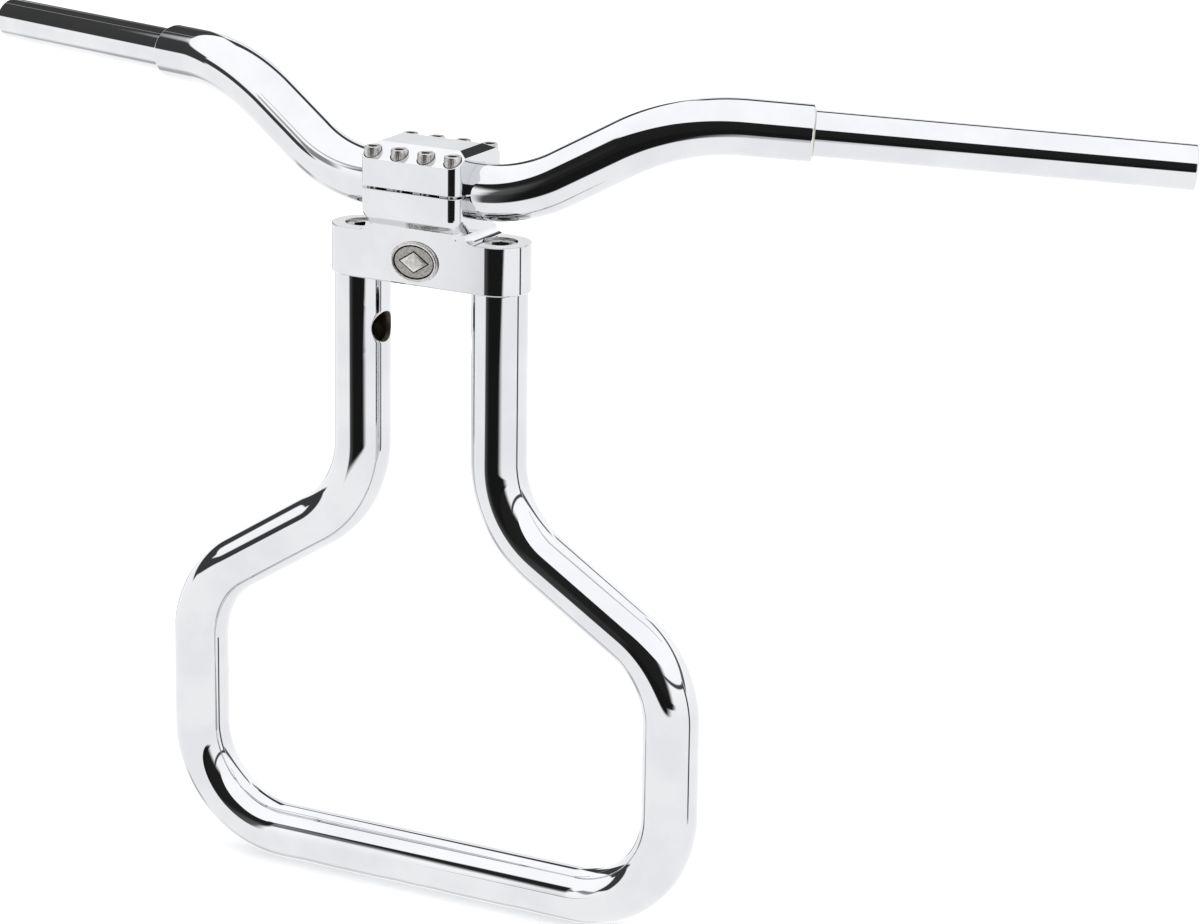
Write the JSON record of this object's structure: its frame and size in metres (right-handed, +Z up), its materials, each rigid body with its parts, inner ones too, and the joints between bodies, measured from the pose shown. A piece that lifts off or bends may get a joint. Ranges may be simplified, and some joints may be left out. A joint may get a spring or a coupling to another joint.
{
  "type": "motorcycle handlebar",
  "caption": "Motorcycle handlebar: pulled-back bar with open 1 in grip ends, held by a screwed block clamp and yoke on a one-piece tubular riser loop.",
  "frame": {"origin": "centre of the straight lower crossbar, on the tube's axis, where the motorcycle's risers clamp", "axes": "+X along the bar (viewer's right from the badge side), +Y towards the rider, +Z up"},
  "size_m": [0.7912, 0.1862, 0.4772],
  "materials": {
    "chrome_tube": "polished chrome plating on bent steel tube",
    "chrome_billet": "polished chrome plating on machined billet",
    "screw_steel": "satin stainless steel",
    "plain_steel": "bare machined steel",
    "badge_metal": "cast pewter with a darkened recess"
  },
  "bodies": {
    "riser": {"riser_loop_tube": "chrome_tube", "clamp_base": "chrome_billet", "clamp_cap": "chrome_billet", "badge": "badge_metal", "cap_screw_1": "screw_steel", "cap_screw_2": "screw_steel", "cap_screw_3": "screw_steel", "cap_screw_4": "screw_steel", "cap_screw_5": "screw_steel", "cap_screw_6": "screw_steel", "cap_screw_7": "screw_steel", "cap_screw_8": "screw_steel", "upright_plug_left": "plain_steel", "yoke_bolt_left": "screw_steel", "lock_washer_left": "plain_steel", "upright_plug_right": "plain_steel", "yoke_bolt_right": "screw_steel", "lock_washer_right": "plain_steel"},
    "bar": {"handlebar_tube": "chrome_tube", "grip_tube_left": "chrome_tube", "grip_tube_right": "chrome_tube"}
  },
  "joints": [
    {"name": "bar_rotation", "type": "hinge", "parent": "riser", "child": "bar", "pos_m": [0, 0, 0.4002], "axis": [1, 0, 0], "range_deg": [-20, 20]}
  ]
}
